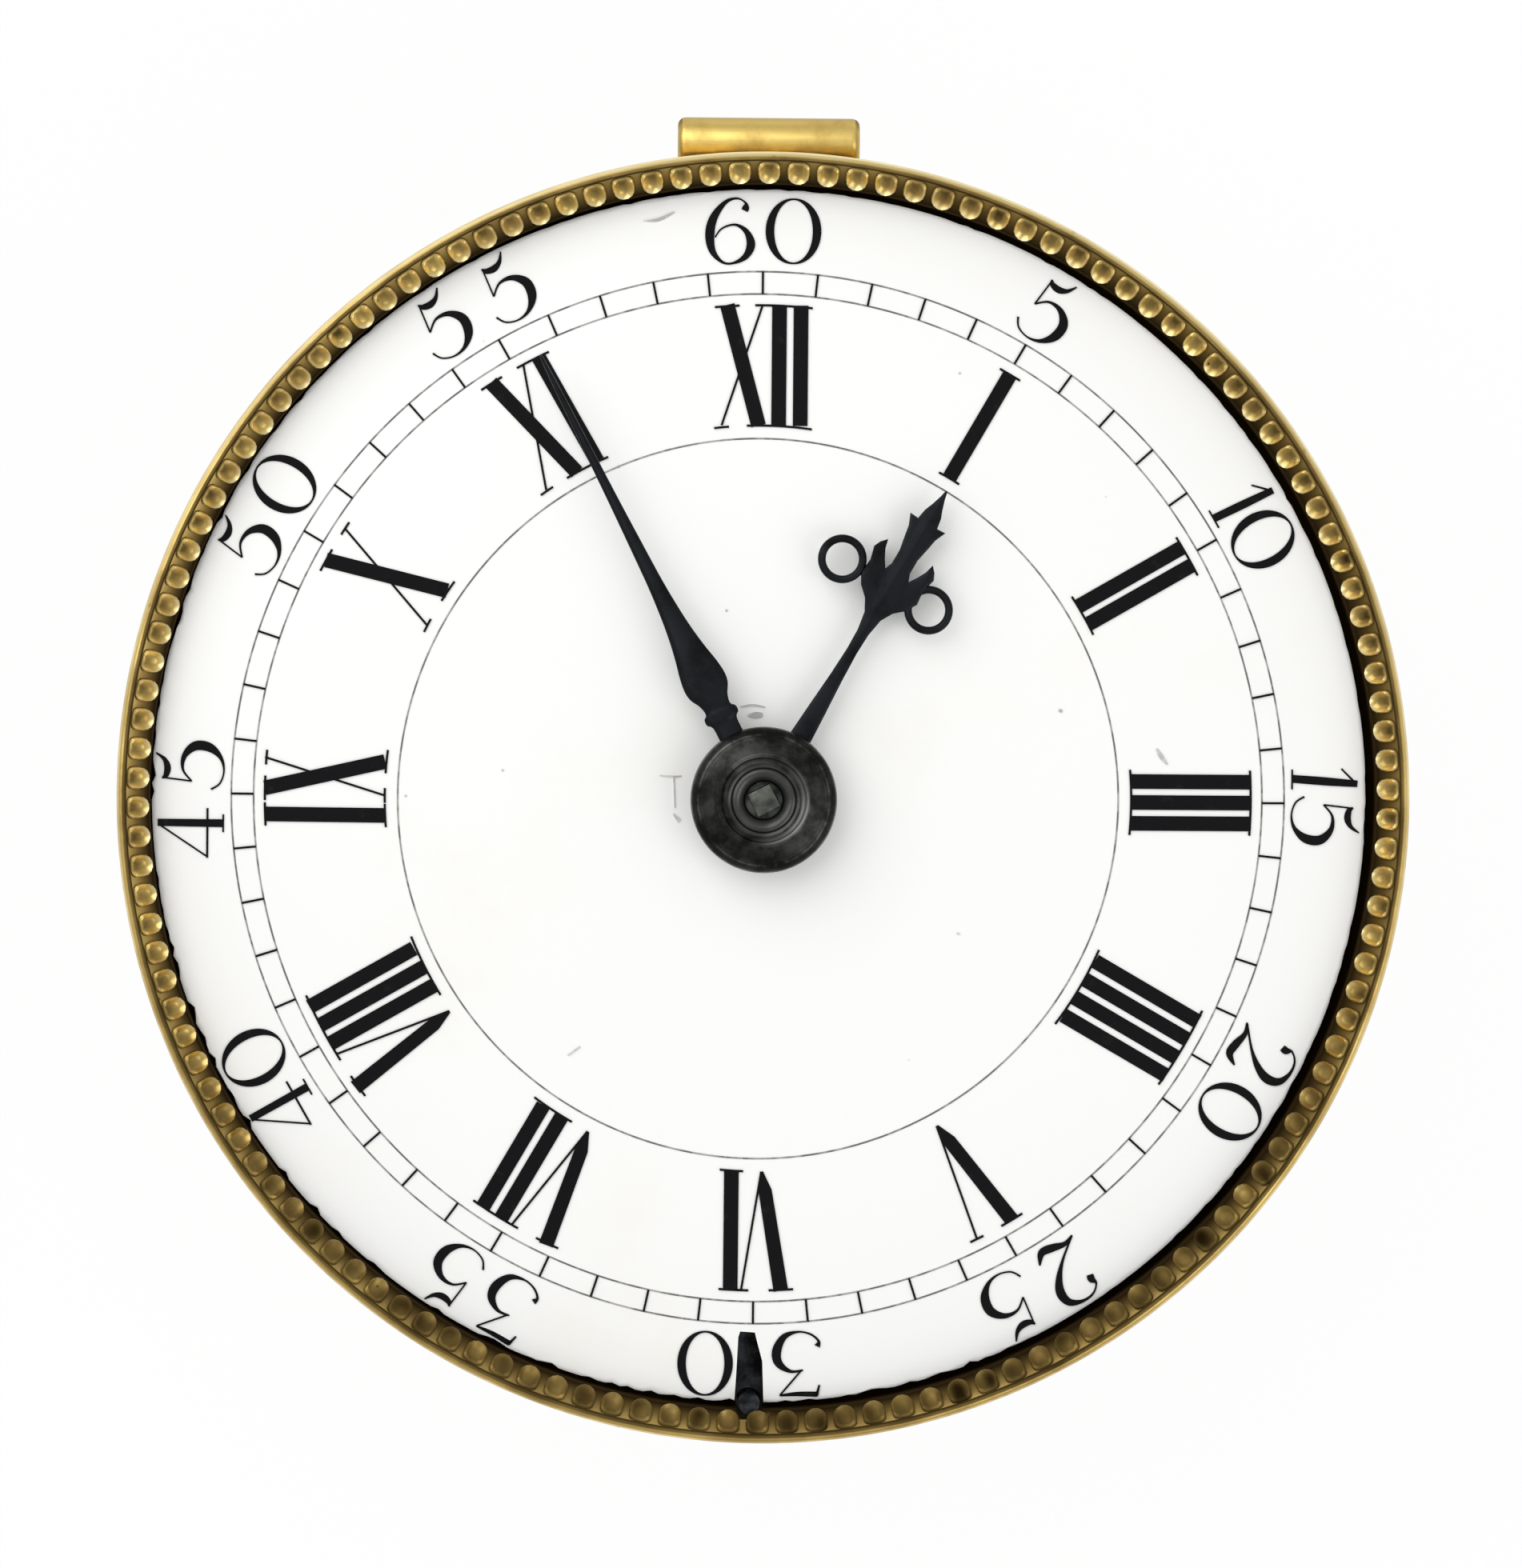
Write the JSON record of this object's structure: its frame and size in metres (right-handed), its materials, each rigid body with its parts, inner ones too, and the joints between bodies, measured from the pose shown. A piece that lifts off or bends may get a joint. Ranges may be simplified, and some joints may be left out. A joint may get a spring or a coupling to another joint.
{
  "type": "verge watch movement",
  "caption": "Fusee and chain pocket watch movement with verge escapement, white enamel dial, beaded rim, two hands, hinge knuckle and spring bolt.",
  "frame": {"origin": "where the axis of the centre arbor crosses the underside of the dial plate's rim, the face that seats on the case", "axes": "+Z out of the dial along the centre arbor, +Y towards 12 o'clock and the hinge knuckle, +X towards 3 o'clock; the movement hangs towards -Z"},
  "size_m": [0.042, 0.0432, 0.0184],
  "materials": {
    "enamel": "gloss",
    "gilt_brass": "satin",
    "brass": "satin",
    "steel": "polished",
    "blued_steel": "polished",
    "silvered": "satin",
    "ruby": "gloss"
  },
  "bodies": {
    "plates": {"dial": "enamel", "dial_plate": "gilt_brass", "dial_pins": "steel", "hinge": "gilt_brass", "bolt_spring": "steel", "dial_side_screws": "blued_steel", "pillar_plate": "gilt_brass", "pillar_1": "gilt_brass", "pillar_2": "gilt_brass", "pillar_3": "gilt_brass", "pillar_4": "gilt_brass", "pillar_pins": "steel", "top_plate": "gilt_brass", "barrel_bar": "gilt_brass", "plate_screws": "blued_steel", "potence": "gilt_brass", "counter_potence": "gilt_brass", "potence_screws": "blued_steel", "balance_cock": "gilt_brass", "cock_screw": "blued_steel", "coqueret": "steel", "endstone": "ruby", "coqueret_screws": "blued_steel", "spring_stud": "steel", "slide_plate": "gilt_brass", "stop_block": "gilt_brass", "fusee_chain": "steel", "balance_spring": "blued_steel", "minute_post": "steel"},
    "bolt": {"bolt": "steel"},
    "centre": {"centre_arbor": "steel", "centre_wheel": "brass", "cannon_pinion": "steel", "minute_hand": "blued_steel"},
    "great_wheel": {"great_wheel": "brass"},
    "fusee_click": {"fusee_click": "steel"},
    "fusee": {"fusee": "brass", "fusee_arbor": "steel", "fusee_ratchet": "steel"},
    "barrel": {"barrel": "gilt_brass", "barrel_lid": "gilt_brass", "mainspring": "blued_steel"},
    "barrel_arbor": {"barrel_arbor": "steel", "setup_ratchet": "steel"},
    "setup_click": {"setup_click": "steel"},
    "third": {"third_arbor": "steel", "third_wheel": "brass"},
    "contrate": {"contrate_arbor": "steel", "contrate_wheel": "brass"},
    "escape": {"escape_arbor": "steel", "escape_wheel": "brass"},
    "balance": {"verge_staff": "steel", "balance_wheel": "gilt_brass"},
    "regulator": {"regulator_disc": "silvered"},
    "rack": {"regulator_rack": "steel"},
    "stop_iron": {"stop_iron": "steel"},
    "minute_wheel": {"minute_wheel": "brass"},
    "hour": {"hour_wheel": "brass", "hour_hand": "blued_steel"}
  },
  "joints": [
    {"name": "centre_turn", "type": "hinge", "parent": "plates", "child": "centre", "pos_m": [0, 0, -0.00635], "axis": [0, 0, -1], "continuous": true},
    {"name": "great_wheel_turn", "type": "hinge", "parent": "plates", "child": "great_wheel", "pos_m": [0.00391, -0.00677, -0.00635], "axis": [0, 0, -1], "continuous": true},
    {"name": "third_turn", "type": "hinge", "parent": "plates", "child": "third", "pos_m": [0.00594, 0.00087, -0.00635], "axis": [0, 0, -1], "continuous": true},
    {"name": "contrate_turn", "type": "hinge", "parent": "plates", "child": "contrate", "pos_m": [0.00906, 0.00423, -0.00635], "axis": [0, 0, -1], "continuous": true},
    {"name": "escape_turn", "type": "hinge", "parent": "plates", "child": "escape", "pos_m": [0.00423, 0.00552, -0.00635], "axis": [-0.9659, 0.2588, 0], "continuous": true},
    {"name": "minute_wheel_turn", "type": "hinge", "parent": "plates", "child": "minute_wheel", "pos_m": [-0.00309, 0.00368, -0.00105], "axis": [0, 0, -1], "continuous": true},
    {"name": "hour_turn", "type": "hinge", "parent": "plates", "child": "hour", "pos_m": [0, 0, 0], "axis": [0, 0, -1], "continuous": true},
    {"name": "balance_swing", "type": "hinge", "parent": "plates", "child": "balance", "pos_m": [0.00152, 0.00625, -0.00635], "axis": [0, 0, -1], "range_deg": [-55, 55], "deforming": ["balance_spring"]},
    {"name": "winding", "type": "hinge", "parent": "great_wheel", "child": "fusee", "pos_m": [0.00391, -0.00677, -0.00635], "axis": [0, 0, -1], "range_deg": [0, 900], "deforming": ["fusee_chain"]},
    {"name": "barrel_turn", "type": "hinge", "parent": "plates", "child": "barrel", "pos_m": [-0.00933, -0.00583, -0.00635], "axis": [0, 0, -1], "range_deg": [0, 620]},
    {"name": "set_up", "type": "hinge", "parent": "plates", "child": "barrel_arbor", "pos_m": [-0.00933, -0.00583, -0.00635], "axis": [0, 0, -1], "range_deg": [0, 360], "deforming": ["mainspring"]},
    {"name": "setup_click_swing", "type": "hinge", "parent": "plates", "child": "setup_click", "pos_m": [-0.00768, -0.00297, -0.00135], "axis": [0, 0, -1], "range_deg": [-8, 0]},
    {"name": "fusee_click_swing", "type": "hinge", "parent": "great_wheel", "child": "fusee_click", "pos_m": [0.00333, -0.00352, -0.00435], "axis": [0, 0, -1], "range_deg": [-6, 0]},
    {"name": "regulator_turn", "type": "hinge", "parent": "plates", "child": "regulator", "pos_m": [0.01049, -0.00003, -0.01095], "axis": [0, 0, -1], "range_deg": [-120, 120]},
    {"name": "rack_slide", "type": "hinge", "parent": "plates", "child": "rack", "pos_m": [0.00152, 0.00625, -0.01095], "axis": [0, 0, -1], "range_deg": [-12, 12]},
    {"name": "stop_iron_lift", "type": "hinge", "parent": "plates", "child": "stop_iron", "pos_m": [0.00718, -0.01244, -0.0086], "axis": [-0.866, -0.5, 0], "range_deg": [0, 5]},
    {"name": "bolt_slide", "type": "slide", "parent": "plates", "child": "bolt", "axis": [0, 1, 0], "range_m": [0, 0.001], "stiffness_N_per_m": 150, "springref_m": -0.0015, "deforming": ["bolt_spring"]}
  ],
  "couplings": [
    {"joint": "great_wheel_turn", "follows": "centre_turn", "ratio": -0.2},
    {"joint": "third_turn", "follows": "centre_turn", "ratio": -9},
    {"joint": "contrate_turn", "follows": "centre_turn", "ratio": 72},
    {"joint": "escape_turn", "follows": "centre_turn", "ratio": 576},
    {"joint": "minute_wheel_turn", "follows": "centre_turn", "ratio": -0.33333},
    {"joint": "hour_turn", "follows": "centre_turn", "ratio": 0.083333},
    {"joint": "barrel_turn", "follows": "winding", "ratio": 0.62},
    {"joint": "rack_slide", "follows": "regulator_turn", "ratio": -0.1}
  ]
}
